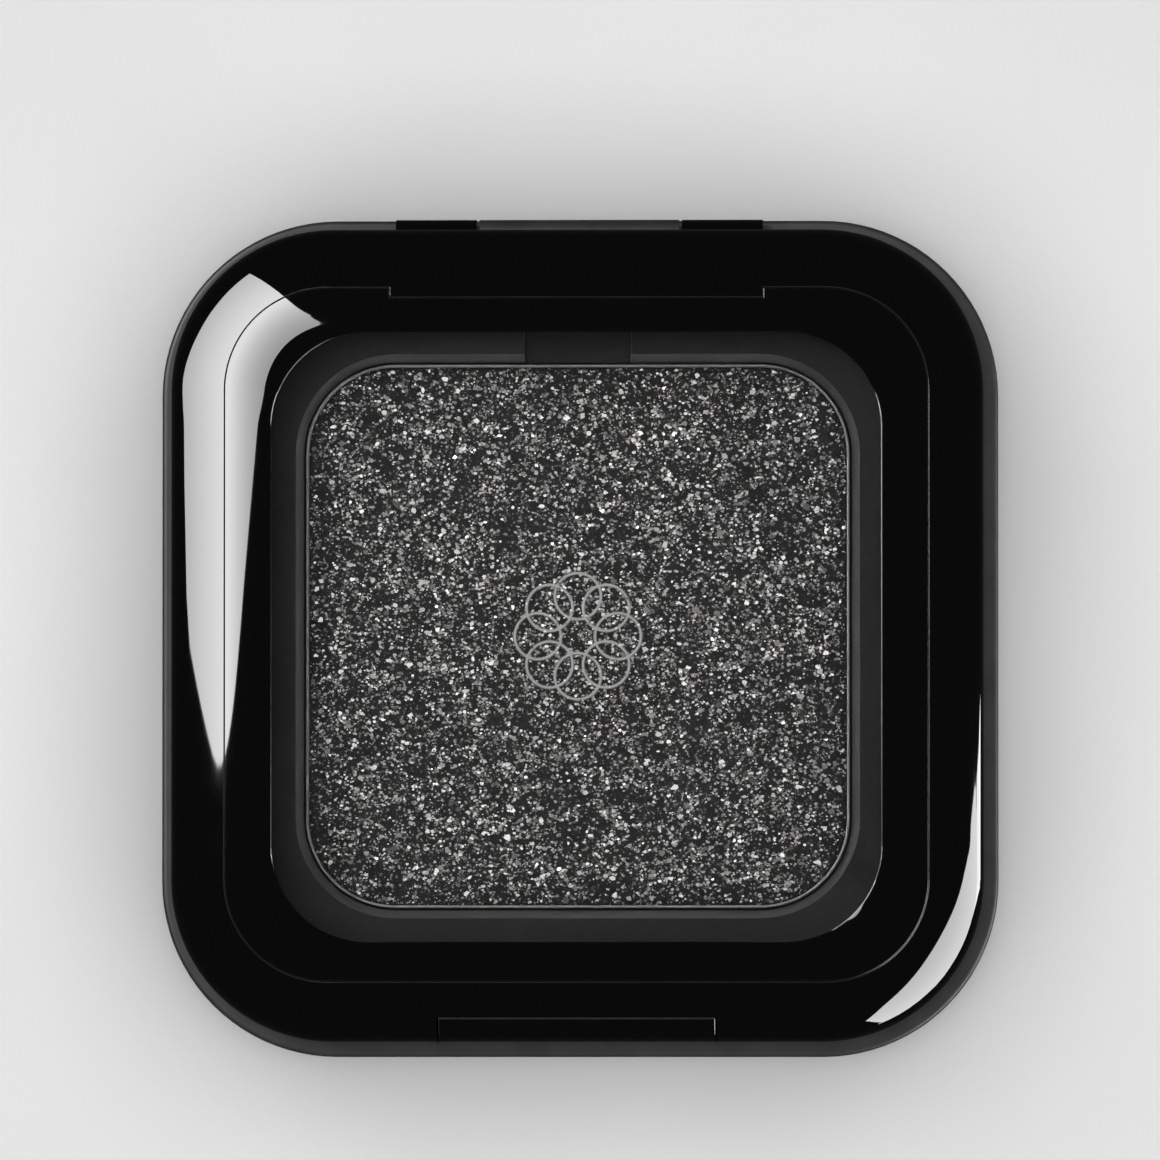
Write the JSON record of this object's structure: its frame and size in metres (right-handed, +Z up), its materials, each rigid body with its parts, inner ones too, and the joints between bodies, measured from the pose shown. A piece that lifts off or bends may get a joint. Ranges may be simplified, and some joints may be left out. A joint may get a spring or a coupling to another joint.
{
  "type": "eyeshadow compact",
  "caption": "Square eyeshadow compact with rounded corners, a domed hinged lid with a clear window over one pressed-powder pan, and a push button at the front.",
  "frame": {"origin": "centre of the underside, on the surface it stands on", "axes": "+Z up through the closed lid, +Y towards the hinge, -Y towards the push button, +X to the right seen from the front"},
  "size_m": [0.042, 0.042, 0.013],
  "materials": {
    "base_plastic": "gloss black",
    "label_paper": "matte film label, blank",
    "tray_plastic": "satin black",
    "pad_foam": "double-sided foam pad",
    "pan_metal": "thin pressed sheet",
    "powder": "pressed powder, charcoal with silver glitter",
    "button_plastic": "gloss black",
    "spring_steel": "rolled strip",
    "pin_steel": "ground",
    "lid_plastic": "gloss black",
    "bezel_plastic": "gloss black",
    "pane_clear": "clear, polished"
  },
  "bodies": {
    "base": {"base_shell": "base_plastic", "base_label": "label_paper", "inner_tray": "tray_plastic", "pan_pad": "pad_foam", "pan": "pan_metal", "powder": "powder", "hinge_pin": "pin_steel", "button_spring": "spring_steel"},
    "lid": {"lid_ring": "lid_plastic", "window_bezel": "bezel_plastic", "window_pane": "pane_clear"},
    "button": {"push_button": "button_plastic"}
  },
  "joints": [
    {"name": "lid_hinge", "type": "hinge", "parent": "base", "child": "lid", "pos_m": [0, 0.0203, 0.00585], "axis": [-1, 0, 0], "range_deg": [0, 110]},
    {"name": "button_press", "type": "slide", "parent": "base", "child": "button", "axis": [0, 1, 0], "range_m": [0, 0.00045], "stiffness_N_per_m": 400, "springref_m": -0.0006, "deforming": ["button_spring"]}
  ]
}
